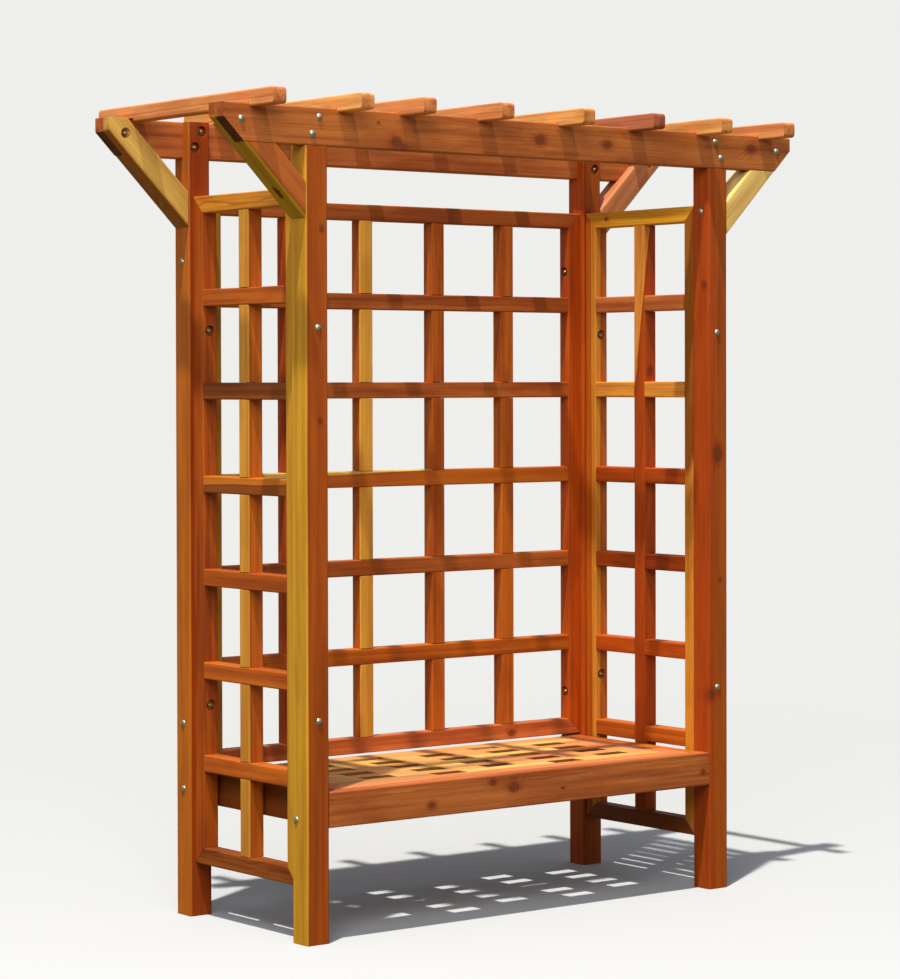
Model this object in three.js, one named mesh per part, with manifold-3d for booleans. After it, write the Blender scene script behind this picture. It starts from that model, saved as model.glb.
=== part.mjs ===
// An arbour seat in oiled timber: four posts carry two long beams with knee braces and eight rafters,
// lattice panels close both sides and the back, and a slatted bench seat sits between the posts.
// Millimetres, +Z up. The origin is on the ground under the middle, the front faces -Y, +X is to the right.
import * as THREE from "three";
import { mergeVertices } from "three/addons/utils/BufferGeometryUtils.js";
import Module from "manifold-3d";

const wasm = await Module();
wasm.setup();

// Overall sizes
const frameWidth = 1600; // over the posts' outer side faces
const frameDepth = 684; // over the posts' front and back faces
const beamTop = 2357; // top of the beams, the post tongues and the braces
const seatTop = 428;

// Posts, beams and knee braces
const postSize = 76;
const postEase = 6; // radius of the rounded long edges
const beamThickness = 46;
const beamHeight = 108;
const beamEase = 4;
const beamOverhang = 272; // beam end past a post's outer side face
const noseHeight = 41; // upright part of a beam end, above its slanted cut
const braceWidth = 76; // across the slope
const braceAngle = Math.PI / 4;

// Rafters
const rafterWidth = 45;
const rafterHeight = 47;
const rafterOverhang = 118; // past the outer face of each beam
const rafterNotch = 10; // how deep a rafter sits over the beams
const rafterEase = 4;
const rafterEndRadius = 12;
const rafterPlaceShares = [-0.451, -0.312, -0.21, -0.078, 0.065, 0.194, 0.323, 0.446]; // of the beam length

// Lattice panels
const backPanelThickness = 44;
const sidePanelThickness = 50;
const sidePanelInset = 3.5; // from the posts' middle towards the seat
const barWidth = 50;
const barEase = 3.5;
const panelDrop = 114; // beam underside to panel top
const panelSeatGap = 6; // seat top to the back panel's underside
const backRows = 6;
const sideRows = 7;
const backColumns = 5;
const sideColumns = 2;
const tenonLength = 12;
const tenonThickness = 16;
const tenonHeight = 30;

// Seat
const apronThickness = 46;
const apronHeight = 102;
const apronEase = 4;
const backApronDrop = 12; // from the seat top to the back apron's top, so the gap above it stays open
const slatThickness = 44;
const seatBorder = 61; // plain margin around the slotted field
const slotRows = 9;
const slotUnits = 11; // short lengths along the seat, one of every four is open
const slotCycle = 4;
const slotShift = 24; // the short lengths were laid this much further right than the middle
const cleatSize = 38;
const cleatEndGap = 45; // keeps the cleats clear of the bolts in the end aprons

// Bolt holes, with a counterbore for each nut
const boreDiameter = 8.5;
const counterboreDiameter = 32;
const counterboreDepth = 12;
const beamBoltShares = [[0.63, 0.255], [0.32, 0.704]]; // of the post size inwards and of the beam height down
const noseBoltInset = 58; // from the beam end
const noseBoltDrop = 45; // from the beam top
const braceBoltRise = 70; // above the brace foot
const braceBoltGrip = 46; // brace timber left under the nut
const sideBoltDropShares = [1.445, 5.47]; // below the panel's top, in rows of the lattice
const backBoltDropShares = [0.694, 5.68];
const frontSeatBoltClear = 10; // behind the front apron
const frontSeatBoltDrop = 77; // below the seat top
const backSeatBoltDrop = 51;

// Clearances and facets
const fit = 0.3; // between timbers that touch
const overrun = 5; // how far a cut passes the face that it opens
const easeSegments = 1; // each rounded edge has twice as many facets
const endSegments = 2;
const boreFacets = 8;
const counterboreFacets = 16;

// Worked out from the sizes above
const beamBottom = beamTop - beamHeight;
const beamLength = frameWidth + 2 * beamOverhang;
const innerWidth = frameWidth - 2 * postSize;
const innerDepth = frameDepth - 2 * postSize;
const postX = (frameWidth - postSize) / 2;
const postY = (frameDepth - postSize) / 2;
const panelTop = beamBottom - panelDrop;
const backPanelBottom = seatTop + panelSeatGap;
const rowPitch = (panelTop - barWidth - backPanelBottom) / backRows;
const sidePanelBottom = panelTop - barWidth - sideRows * rowPitch;
const braceDrop = beamOverhang * Math.tan(braceAngle);
const braceFoot = beamTop - noseHeight - braceDrop;
const braceBoltHeight = braceFoot + braceBoltRise;
const frontApronInner = -frameDepth / 2 + apronThickness;
const backApronInner = postY - apronThickness / 2;
const backApronOuter = postY + apronThickness / 2;

const sideBoltHeights = sideBoltDropShares.map((share) => panelTop - share * rowPitch);
const backBoltHeights = backBoltDropShares.map((share) => panelTop - share * rowPitch);

// Solids and booleans
function solidOf(geometry) {
  const bare = geometry.clone();
  bare.deleteAttribute("normal");
  bare.deleteAttribute("uv");
  const merged = mergeVertices(bare);
  return new wasm.Manifold(
    new wasm.Mesh({
      numProp: 3,
      vertProperties: merged.attributes.position.array,
      triVerts: new Uint32Array(merged.index.array),
    }),
  );
}

function geometryOf(solid) {
  const { vertProperties, triVerts } = solid.getMesh();
  const geometry = new THREE.BufferGeometry();
  geometry.setAttribute("position", new THREE.BufferAttribute(new Float32Array(vertProperties), 3));
  geometry.setIndex(new THREE.BufferAttribute(new Uint32Array(triVerts), 1));
  geometry.computeVertexNormals();
  return geometry;
}

const cutAll = (solid, cutters) => cutters.reduce((rest, cutter) => rest.subtract(cutter), solid);
const between = (a, b) => [Math.min(a, b), Math.max(a, b)];

// Outlines: a polygon, and a rectangle with rounded corners
const polygon = (points) => new THREE.Shape(points.map(([a, b]) => new THREE.Vector2(a, b)));

function roundedRect([a0, a1], [b0, b1], radius) {
  const shape = new THREE.Shape();
  const corners = [
    [a1 - radius, b0 + radius, -Math.PI / 2],
    [a1 - radius, b1 - radius, 0],
    [a0 + radius, b1 - radius, Math.PI / 2],
    [a0 + radius, b0 + radius, Math.PI],
  ];
  for (const [a, b, start] of corners) shape.absarc(a, b, radius, start, start + Math.PI / 2, false);
  return shape;
}

// Straight prisms along each axis: outlines are given as (y, z), (x, z) and (x, y)
const xAxis = new THREE.Vector3(1, 0, 0);
const yAxis = new THREE.Vector3(0, 1, 0);
const zAxis = new THREE.Vector3(0, 0, 1);

function prism(shape, length, basis, place, curveSegments) {
  const geometry = new THREE.ExtrudeGeometry(shape, { depth: length, bevelEnabled: false, curveSegments });
  geometry.applyMatrix4(new THREE.Matrix4().makeBasis(...basis).setPosition(place));
  return solidOf(geometry);
}

const prismX = (shape, [x0, x1], segments = easeSegments) =>
  prism(shape, x1 - x0, [yAxis, zAxis, xAxis], new THREE.Vector3(x0, 0, 0), segments);
const prismY = (shape, [y0, y1], segments = easeSegments) =>
  prism(shape, y1 - y0, [xAxis, zAxis, yAxis.clone().negate()], new THREE.Vector3(0, y1, 0), segments);
const prismZ = (shape, [z0, z1], segments = easeSegments) =>
  prism(shape, z1 - z0, [xAxis, yAxis, zAxis], new THREE.Vector3(0, 0, z0), segments);

function block([x0, x1], [y0, y1], [z0, z1]) {
  const geometry = new THREE.BoxGeometry(x1 - x0, y1 - y0, z1 - z0);
  return solidOf(geometry.translate((x0 + x1) / 2, (y0 + y1) / 2, (z0 + z1) / 2));
}

function drillX([x0, x1], y, z, diameter, facets = boreFacets) {
  const geometry = new THREE.CylinderGeometry(diameter / 2, diameter / 2, x1 - x0, facets);
  return solidOf(geometry.rotateZ(Math.PI / 2).translate((x0 + x1) / 2, y, z));
}

function drillY(x, [y0, y1], z, diameter, facets = boreFacets) {
  const geometry = new THREE.CylinderGeometry(diameter / 2, diameter / 2, y1 - y0, facets);
  return solidOf(geometry.translate(x, (y0 + y1) / 2, z));
}

// Oiled redwood tones, one for each piece
const tones = {
  honey: 0xd9a046,
  straw: 0xd8b45c,
  ochre: 0xb98a2a,
  amber: 0xd08a32,
  apricot: 0xe09050,
  copper: 0xb4581f,
  russet: 0xa04a20,
  brick: 0x9a3a12,
  umber: 0x8a4420,
};

function piece(name, solid, tone, place = new THREE.Vector3()) {
  const material = new THREE.MeshStandardMaterial({ color: tones[tone], roughness: 0.55, metalness: 0 });
  const mesh = new THREE.Mesh(geometryOf(solid), material);
  mesh.name = name;
  mesh.position.copy(place);
  return mesh;
}

// A post of the left side, on its foot's middle: facing is -1 for the front and 1 for the back
function makePost(facing) {
  const half = postSize / 2;
  const across = [-half - overrun, half + overrun];
  const body = prismZ(roundedRect([-half, half], [-half, half], postEase), [0, beamTop]);
  const beamSeat = between(facing * (half + overrun), facing * (half - beamThickness - fit));
  const cuts = [block(across, beamSeat, [beamBottom - fit, beamTop + overrun])];
  const nutSide = between(-facing * (half - counterboreDepth), -facing * (half + overrun));
  for (const [inShare, downShare] of beamBoltShares) {
    const x = -half + inShare * postSize;
    const z = beamTop - downShare * beamHeight;
    cuts.push(drillY(x, across, z, boreDiameter));
    cuts.push(drillY(x, nutSide, z, counterboreDiameter, counterboreFacets));
  }
  cuts.push(drillX(across, 0, braceBoltHeight, boreDiameter));
  for (const z of sideBoltHeights) cuts.push(drillY(sidePanelInset, across, z, boreDiameter));
  if (facing > 0) {
    for (const z of backBoltHeights) cuts.push(drillX(across, 0, z, boreDiameter));
    cuts.push(drillX(across, 0, seatTop - backSeatBoltDrop, boreDiameter));
  } else {
    const y = frontApronInner + frontSeatBoltClear + postY;
    cuts.push(drillX(across, y, seatTop - frontSeatBoltDrop, boreDiameter));
  }
  return cutAll(body, cuts);
}

// A knee brace of the left side, placed at its lower tip on the post's outer face and at the post's middle
function makeBrace(facing) {
  const slope = Math.tan(braceAngle);
  const rise = braceWidth / Math.cos(braceAngle);
  const top = beamTop - braceFoot;
  const half = postSize / 2;
  const outline = polygon([
    [-fit, fit * slope],
    [-fit, fit * slope + rise],
    [-(top - rise) / slope, top],
    [-beamOverhang, top],
    [-beamOverhang, braceDrop],
  ]);
  const section = roundedRect([-half, half], [0, braceWidth], postEase);
  const bar = prismX(section, [-2 * beamOverhang - braceWidth, braceWidth]);
  const sloped = bar.rotate([0, THREE.MathUtils.radToDeg(braceAngle), 0]);
  const lap = between(facing * (half + overrun), facing * (half - beamThickness - fit));
  const noseX = -beamOverhang + noseBoltInset;
  const noseZ = top - noseBoltDrop;
  const nutSide = between(-facing * (half - counterboreDepth), -facing * (half + overrun));
  return cutAll(sloped.intersect(prismY(outline, [-half, half])), [
    block([-beamOverhang - overrun, overrun], lap, [beamBottom - fit - braceFoot, top + overrun]),
    drillY(noseX, [-half - overrun, half + overrun], noseZ, boreDiameter),
    drillY(noseX, nutSide, noseZ, counterboreDiameter, counterboreFacets),
    drillX([-beamOverhang, overrun], 0, braceBoltRise, boreDiameter),
    drillX([-beamOverhang, -braceBoltGrip], 0, braceBoltRise, counterboreDiameter, counterboreFacets),
  ]);
}

// A beam, on the middle of its underside
function makeBeam() {
  const halfLength = beamLength / 2;
  const half = beamThickness / 2;
  const cutRun = (beamHeight - noseHeight) / Math.tan(braceAngle);
  const outline = polygon([
    [-halfLength + cutRun, 0],
    [halfLength - cutRun, 0],
    [halfLength, beamHeight - noseHeight],
    [halfLength, beamHeight],
    [-halfLength, beamHeight],
    [-halfLength, beamHeight - noseHeight],
  ]);
  const bar = prismX(roundedRect([-half, half], [0, beamHeight], beamEase), [-halfLength, halfLength]);
  const places = beamBoltShares.map(([inShare, downShare]) => [
    frameWidth / 2 - inShare * postSize,
    (1 - downShare) * beamHeight,
  ]);
  places.push([halfLength - noseBoltInset, beamHeight - noseBoltDrop]);
  const through = [-half - overrun, half + overrun];
  const cuts = places.flatMap(([x, z]) => [-x, x].map((at) => drillY(at, through, z, boreDiameter)));
  return cutAll(bar.intersect(prismY(outline, [-half, half])), cuts);
}

// A rafter along y, on the middle of its underside, notched over both beams and what backs them
function makeRafter() {
  const reach = frameDepth / 2 + rafterOverhang;
  const half = rafterWidth / 2;
  const bar = prismY(roundedRect([-half, half], [0, rafterHeight], rafterEase), [-reach, reach]);
  const side = roundedRect([-reach, reach], [0, rafterHeight], rafterEndRadius);
  const notches = [-1, 1].map((facing) =>
    block(
      [-half - overrun, half + overrun],
      between(facing * (frameDepth / 2 - postSize - fit), facing * (frameDepth / 2 + fit)),
      [-overrun, rafterNotch + fit],
    ),
  );
  return cutAll(bar.intersect(prismX(side, [-half, half], endSegments)), notches);
}

// A lattice panel in its own frame: x along it from its middle, y through it, z up from its underside.
// Mitred stiles and rails, and bars half lapped into each other: the crossbars run whole on the -y side.
function latticePanel({ prefix, width, thickness, rows, columns, stileNames, boltHeights, toneOf }) {
  const group = new THREE.Group();
  const height = rows * rowPitch + barWidth;
  const half = width / 2 - fit;
  const inner = half - barWidth;
  const deep = [-thickness / 2, thickness / 2];
  const pitch = (2 * inner + barWidth) / columns;
  const uprightXs = Array.from({ length: columns - 1 }, (_, i) => -inner - barWidth / 2 + (i + 1) * pitch);
  const crossZs = Array.from({ length: rows - 1 }, (_, i) => height - barWidth / 2 - (i + 1) * rowPitch);
  const barHalf = barWidth / 2;
  const tenonHalf = tenonThickness / 2;
  const add = (name, solid) => group.add(piece(prefix + name, solid, toneOf(name)));
  const clipped = (bar, outline) => bar.intersect(prismY(polygon(outline), deep));

  // Stiles with a mortise for each crossbar, and a counterbored hole for each bolt
  [-1, 1].forEach((end, i) => {
    const bar = prismZ(roundedRect(between(end * inner, end * half), deep, barEase), [0, height]);
    const outline = [
      [end * half, fit],
      [end * inner, barWidth + fit],
      [end * inner, height - barWidth - fit],
      [end * half, height - fit],
    ];
    if (end < 0) outline.reverse();
    const mortise = between(end * (inner + tenonLength), end * (inner - overrun));
    const cuts = crossZs.map((z) =>
      block(
        mortise,
        [-tenonHalf - fit, tenonHalf + fit],
        [z - tenonHeight / 2 - fit, z + tenonHeight / 2 + fit],
      ),
    );
    const through = between(end * (half + overrun), end * (inner - overrun));
    const nutSide = between(end * (inner + counterboreDepth), end * (inner - overrun));
    for (const z of boltHeights) {
      cuts.push(drillX(through, 0, z, boreDiameter));
      cuts.push(drillX(nutSide, 0, z, counterboreDiameter, counterboreFacets));
    }
    add(stileNames[i], cutAll(clipped(bar, outline), cuts));
  });

  // Rails with a mortise for each upright
  for (const [name, level, up] of [["bottom_rail", 0, 1], ["top_rail", height, -1]]) {
    const edge = level + up * barWidth;
    const bar = prismX(roundedRect(deep, between(level, edge), barEase), [-half, half]);
    const outline = [
      [-half + fit, level],
      [half - fit, level],
      [inner - fit, edge],
      [-inner + fit, edge],
    ];
    if (up < 0) outline.reverse();
    const cuts = uprightXs.map((x) =>
      block(
        [x - tenonHeight / 2 - fit, x + tenonHeight / 2 + fit],
        [-tenonHalf - fit, tenonHalf + fit],
        between(edge + up * overrun, edge - up * tenonLength),
      ),
    );
    add(name, cutAll(clipped(bar, outline), cuts));
  }

  // Crossbars, halved at their back where an upright crosses
  const shoulder = inner - fit;
  crossZs.forEach((z, i) => {
    const bar = prismX(roundedRect(deep, [z - barHalf, z + barHalf], barEase), [-shoulder, shoulder]);
    const reach = shoulder + tenonLength - fit;
    const tenonLevels = [z - tenonHeight / 2, z + tenonHeight / 2];
    const tenon = block([-reach, reach], [-tenonHalf, tenonHalf], tenonLevels);
    const laps = uprightXs.map((x) =>
      block(
        [x - barHalf - fit, x + barHalf + fit],
        [-fit / 2, thickness],
        [z - barWidth, z + barWidth],
      ),
    );
    add(crossZs.length > 1 ? `crossbar_${i + 1}` : "crossbar", cutAll(bar.add(tenon), laps));
  });

  // Uprights, halved at their front where a crossbar crosses
  uprightXs.forEach((x, i) => {
    const levels = [barWidth + fit, height - barWidth - fit];
    const bar = prismZ(roundedRect([x - barHalf, x + barHalf], deep, barEase), levels);
    const tenonEnds = [levels[0] - tenonLength + fit, levels[1] + tenonLength - fit];
    const tenon = block([x - tenonHeight / 2, x + tenonHeight / 2], [-tenonHalf, tenonHalf], tenonEnds);
    const laps = crossZs.map((z) =>
      block(
        [x - barWidth, x + barWidth],
        [-thickness, fit / 2],
        [z - barHalf - fit, z + barHalf + fit],
      ),
    );
    add(uprightXs.length > 1 ? `upright_${i + 1}` : "upright", cutAll(bar.add(tenon), laps));
  });
  return group;
}

// An end apron of the left side, against the posts' inner faces
function makeEndApron() {
  const outer = -innerWidth / 2 + fit;
  const inner = outer + apronThickness;
  const deep = [frontApronInner + fit, backApronOuter];
  const section = roundedRect([outer, inner], [seatTop - apronHeight, seatTop], apronEase);
  const through = [outer - overrun, inner + overrun];
  return cutAll(prismY(section, deep), [
    drillX(through, frontApronInner + frontSeatBoltClear, seatTop - frontSeatBoltDrop, boreDiameter),
    drillX(through, postY, seatTop - backSeatBoltDrop, boreDiameter),
  ]);
}

// One side of the arbour, built as the left one: two posts, two braces, a lattice panel and an end apron
function makeSide(name, sideTones) {
  const side = new THREE.Group();
  for (const [end, facing] of [["front", -1], ["back", 1]]) {
    const postPlace = new THREE.Vector3(-postX, facing * postY, 0);
    const bracePlace = new THREE.Vector3(-frameWidth / 2, facing * postY, braceFoot);
    side.add(piece(`${name}_${end}_post`, makePost(facing), sideTones[`${end}Post`], postPlace));
    side.add(piece(`${name}_${end}_brace`, makeBrace(facing), sideTones[`${end}Brace`], bracePlace));
  }
  const panel = latticePanel({
    prefix: `${name}_panel_`,
    width: innerDepth,
    thickness: sidePanelThickness,
    rows: sideRows,
    columns: sideColumns,
    stileNames: ["back_stile", "front_stile"],
    boltHeights: sideBoltHeights.map((z) => z - sidePanelBottom),
    toneOf: (part) => sideTones[part],
  });
  panel.rotation.z = -Math.PI / 2;
  panel.position.set(sidePanelInset - postX, 0, sidePanelBottom);
  side.add(panel);
  side.add(piece(`seat_${name}_apron`, makeEndApron(), sideTones.apron));
  return side;
}

// The slotted seat board: short lengths glued side by side, with a slot left open in every fourth place
function makeSlatPanel() {
  const x = innerWidth / 2 - apronThickness - 2 * fit;
  const y0 = frontApronInner + fit;
  const y1 = backApronInner - fit;
  const unit = (2 * (x - seatBorder)) / slotUnits;
  const row = (y1 - y0 - 2 * seatBorder) / slotRows;
  const slots = [];
  for (let r = 0; r < slotRows; r++) {
    const first = slotCycle - 1 - ((r % 2) * slotCycle) / 2;
    for (let u = first; u < slotUnits; u += slotCycle) {
      const a = -x + seatBorder + slotShift + u * unit;
      const b = y0 + seatBorder + r * row;
      slots.push(block([a, a + unit], [b, b + row], [seatTop - slatThickness - overrun, seatTop + overrun]));
    }
  }
  return cutAll(block([-x, x], [y0, y1], [seatTop - slatThickness, seatTop]), slots);
}

function makeSeat() {
  const seat = new THREE.Group();
  const bottom = seatTop - apronHeight;
  const frontHalf = innerWidth / 2 - fit;
  const backHalf = frontHalf - apronThickness - fit;
  const frontSection = roundedRect([-frameDepth / 2, frontApronInner], [bottom, seatTop], apronEase);
  const backTop = seatTop - backApronDrop;
  const backSection = roundedRect([backApronInner, backApronOuter], [bottom, backTop], apronEase);
  const lagReach = [-backHalf - overrun, -backHalf + postSize];
  const lag = drillX(lagReach, postY, seatTop - backSeatBoltDrop, boreDiameter);
  const lags = [lag, lag.mirror([1, 0, 0])];
  seat.add(piece("seat_front_apron", prismX(frontSection, [-frontHalf, frontHalf]), "umber"));
  seat.add(piece("seat_back_apron", cutAll(prismX(backSection, [-backHalf, backHalf]), lags), "russet"));
  seat.add(piece("seat_slat_panel", makeSlatPanel(), "honey"));
  const cleatTop = seatTop - slatThickness - fit;
  const cleatHalf = backHalf - cleatEndGap;
  const cleats = [
    ["seat_front_cleat", [frontApronInner + fit, frontApronInner + fit + cleatSize]],
    ["seat_back_cleat", [backApronInner - fit - cleatSize, backApronInner - fit]],
  ];
  for (const [name, deep] of cleats)
    seat.add(piece(name, block([-cleatHalf, cleatHalf], deep, [cleatTop - cleatSize, cleatTop]), "copper"));
  return seat;
}

function makeRoof() {
  const roof = new THREE.Group();
  const beamY = (frameDepth - beamThickness) / 2;
  roof.add(piece("front_beam", makeBeam(), "russet", new THREE.Vector3(0, -beamY, beamBottom)));
  roof.add(piece("back_beam", makeBeam(), "copper", new THREE.Vector3(0, beamY, beamBottom)));
  const rafterTones = ["amber", "apricot", "amber", "apricot", "honey", "russet", "amber", "apricot"];
  rafterPlaceShares.forEach((share, i) => {
    const place = new THREE.Vector3(share * beamLength, 0, beamTop - rafterNotch);
    roof.add(piece(`rafter_${i + 1}`, makeRafter(), rafterTones[i], place));
  });
  return roof;
}

const leftTones = {
  frontPost: "umber",
  backPost: "copper",
  frontBrace: "russet",
  backBrace: "straw",
  front_stile: "ochre",
  back_stile: "copper",
  top_rail: "amber",
  bottom_rail: "brick",
  upright: "ochre",
  crossbar_1: "copper",
  crossbar_2: "umber",
  crossbar_3: "amber",
  crossbar_4: "russet",
  crossbar_5: "copper",
  crossbar_6: "copper",
  apron: "umber",
};
const rightTones = {
  frontPost: "russet",
  backPost: "russet",
  frontBrace: "straw",
  backBrace: "apricot",
  front_stile: "amber",
  back_stile: "ochre",
  top_rail: "ochre",
  bottom_rail: "russet",
  upright: "brick",
  crossbar_1: "copper",
  crossbar_2: "amber",
  crossbar_3: "copper",
  crossbar_4: "brick",
  crossbar_5: "copper",
  crossbar_6: "copper",
  apron: "copper",
};
const backTones = {
  left_stile: "copper",
  right_stile: "russet",
  top_rail: "russet",
  bottom_rail: "copper",
  upright_1: "ochre",
  upright_2: "copper",
  upright_3: "russet",
  upright_4: "copper",
  crossbar_1: "copper",
  crossbar_2: "brick",
  crossbar_3: "amber",
  crossbar_4: "russet",
  crossbar_5: "copper",
};

const arbour = new THREE.Group();
const rightSide = makeSide("right", rightTones);
rightSide.scale.x = -1;
const backPanel = latticePanel({
  prefix: "back_panel_",
  width: innerWidth,
  thickness: backPanelThickness,
  rows: backRows,
  columns: backColumns,
  stileNames: ["left_stile", "right_stile"],
  boltHeights: backBoltHeights.map((z) => z - backPanelBottom),
  toneOf: (part) => backTones[part],
});
backPanel.position.set(0, postY, backPanelBottom);
arbour.add(makeSide("left", leftTones), rightSide, makeRoof(), backPanel, makeSeat());

export default arbour;
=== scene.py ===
# %% [markdown]
# # An arbour seat in oiled timber
#
# Four posts carry two long beams, eight rafters lie across them, and lattice panels close the sides
# and the back round a slotted bench. The solids arrive with their true sizes, notches and bolt holes.
# This lesson rounds every arris, lets growth rings run through each timber, glues up the seat from
# short slats, and adds the bolts, washers and nuts.

# %% Load the solids
import math
from collections import namedtuple

import bmesh
import bpy
import numpy as np
from mathutils import Matrix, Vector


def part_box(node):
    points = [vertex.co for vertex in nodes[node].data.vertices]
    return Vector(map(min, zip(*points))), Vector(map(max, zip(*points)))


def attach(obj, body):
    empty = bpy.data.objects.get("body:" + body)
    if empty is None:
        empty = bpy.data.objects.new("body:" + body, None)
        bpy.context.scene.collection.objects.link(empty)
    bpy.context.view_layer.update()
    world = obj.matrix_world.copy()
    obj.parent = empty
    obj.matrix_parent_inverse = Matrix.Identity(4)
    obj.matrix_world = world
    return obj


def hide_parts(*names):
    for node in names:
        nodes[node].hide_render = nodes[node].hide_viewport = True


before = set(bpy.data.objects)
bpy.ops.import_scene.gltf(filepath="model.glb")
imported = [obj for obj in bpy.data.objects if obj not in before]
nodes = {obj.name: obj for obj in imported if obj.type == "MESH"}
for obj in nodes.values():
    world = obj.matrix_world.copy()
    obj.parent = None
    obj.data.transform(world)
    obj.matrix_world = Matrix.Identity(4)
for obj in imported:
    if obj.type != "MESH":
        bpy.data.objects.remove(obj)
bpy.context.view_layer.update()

# %% [markdown]
# ## The sizes that the fittings follow
#
# Everything that this file adds sits on the solids, so its places are worked out from their boxes.

# %% Sizes from the solids
X, Y, Z = range(3)
AXES = np.eye(3)
SLOPE = math.sqrt(0.5)  # each share of a unit vector that runs at 45 degrees


def span(node, axis):
    """The lowest and highest place of a solid along one axis, in metres."""
    low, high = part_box(node)
    return low[axis], high[axis]


post_inner, post_outer = span("right_front_post", X)
post_back = span("right_back_post", Y)[1]
post_size = post_outer - post_inner
post_y = post_back - post_size / 2
beam_low, beam_top = span("front_beam", Z)
beam_height = beam_top - beam_low
beam_end = span("front_beam", X)[1]
seat_top = span("seat_front_apron", Z)[1]
apron_inner = span("seat_front_apron", Y)[1]
panel_top = span("back_panel_top_rail", Z)[1]
row_pitch = span("back_panel_crossbar_1", Z)[0] - span("back_panel_crossbar_2", Z)[0]
brace_foot = span("right_front_brace", Z)[0]
print("post", round(post_size, 4), "row pitch", round(row_pitch, 4), "seat", round(seat_top, 3))

# %% [markdown]
# ## Wires that do sums
#
# A wood finish is a long formula. Written node by node it is hard to read, so a small class wraps an
# output socket: `+`, `-`, `*` and `/` on it add Math nodes, and one method adds any other node.

# %% The wire and graph helpers
OBJECT_COORDINATES = 3  # which output of a Texture Coordinate node gives them
COLOUR_A, COLOUR_B = 6, 7  # which inputs of a Mix node take the two colours
CAMERA_RAY, GLOSSY_RAY = 0, 3  # which outputs of a Light Path node tell these rays


class Wire:
    """An output socket of a node graph, on which sums can be written."""

    def __init__(self, graph, socket):
        self.graph = graph
        self.socket = socket

    def sum_with(self, operation, *others):
        """What a Math node makes of this value and the others."""
        values = dict(enumerate((self, *others)))
        return self.graph.add("Math", {"operation": operation}, values)[0]

    def __add__(self, other):
        return self.sum_with("ADD", other)

    def __sub__(self, other):
        return self.sum_with("SUBTRACT", other)

    def __mul__(self, other):
        return self.sum_with("MULTIPLY", other)

    def __truediv__(self, other):
        return self.sum_with("DIVIDE", other)

    def __rsub__(self, other):
        return (self * -1) + other

    __radd__ = __add__
    __rmul__ = __mul__


class Graph:
    """The node tree of a new material or world, with one method that adds a node."""

    def __init__(self, owner):
        owner.use_nodes = True
        self.owner = owner
        self.tree = owner.node_tree
        self.tree.nodes.clear()

    def add(self, kind, settings=None, values=None):
        """Add a node, set its settings, then its sockets, and return its outputs as wires."""
        node = self.tree.nodes.new(f"ShaderNode{kind}")
        for key, value in (settings or {}).items():
            setattr(node, key, value)
        for key, value in (values or {}).items():
            if isinstance(value, Wire):
                self.tree.links.new(value.socket, node.inputs[key])
            else:
                node.inputs[key].default_value = value
        return [Wire(self, socket) for socket in node.outputs if socket.enabled]

    def attribute(self, name):
        """Colour, vector, factor and fourth channel of a named attribute of the mesh."""
        return self.add("Attribute", {"attribute_name": name})

    def place(self):
        """A point of the surface in the object's own coordinates."""
        return self.add("TexCoord")[OBJECT_COORDINATES]

    def combine(self, x, y, z):
        return self.add("CombineXYZ", None, {0: x, 1: y, 2: z})[0]

    def split(self, vector):
        return self.add("SeparateXYZ", None, {0: vector})

    def vector_sum(self, operation, *vectors):
        """What a Vector Math node makes of the vectors."""
        values = dict(enumerate(vectors))
        return self.add("VectorMath", {"operation": operation}, values)[0]

    def noise(self, vector, scale, detail=2.0, roughness=0.5):
        """Smooth noise from 0 to 1 at a vector."""
        values = {"Vector": vector, "Scale": scale, "Detail": detail, "Roughness": roughness}
        return self.add("TexNoise", {"noise_dimensions": "3D"}, values)[0]

    def ramp(self, value, low, high, to_low=0.0, to_high=1.0):
        """An S-curve from to_low to to_high while value goes from low to high."""
        values = {0: value, 1: low, 2: high, 3: to_low, 4: to_high}
        return self.add("MapRange", {"interpolation_type": "SMOOTHSTEP"}, values)[0]

    def mix(self, factor, first, second, blend="MIX"):
        """A mix of two colours."""
        settings = {"data_type": "RGBA", "blend_type": blend}
        values = {0: factor, COLOUR_A: first, COLOUR_B: second}
        return self.add("Mix", settings, values)[0]

    def tinted(self, factor, base, tint):
        """The base colour, multiplied by a tint as far as the factor says."""
        return self.mix(factor, base, self.mix(1.0, base, tint, "MULTIPLY"))

    def bump(self, height, strength, distance):
        """A normal that follows a height."""
        values = {"Height": height, "Strength": strength, "Distance": distance}
        return self.add("Bump", None, values)[0]

    def surface(self, **values):
        """Close the graph with one Principled shader."""
        named = {key.replace("_", " "): value for key, value in values.items()}
        shader = self.add("BsdfPrincipled", None, named)[0]
        self.add("OutputMaterial", None, {"Surface": shader})
        return self.owner


def colour(code):
    """A linear colour from its six-digit code."""
    shares = [int(code[i : i + 2], 16) / 255 for i in (0, 2, 4)]
    linear = [s / 12.92 if s <= 0.04045 else ((s + 0.055) / 1.055) ** 2.4 for s in shares]
    return (*linear, 1.0)
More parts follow.
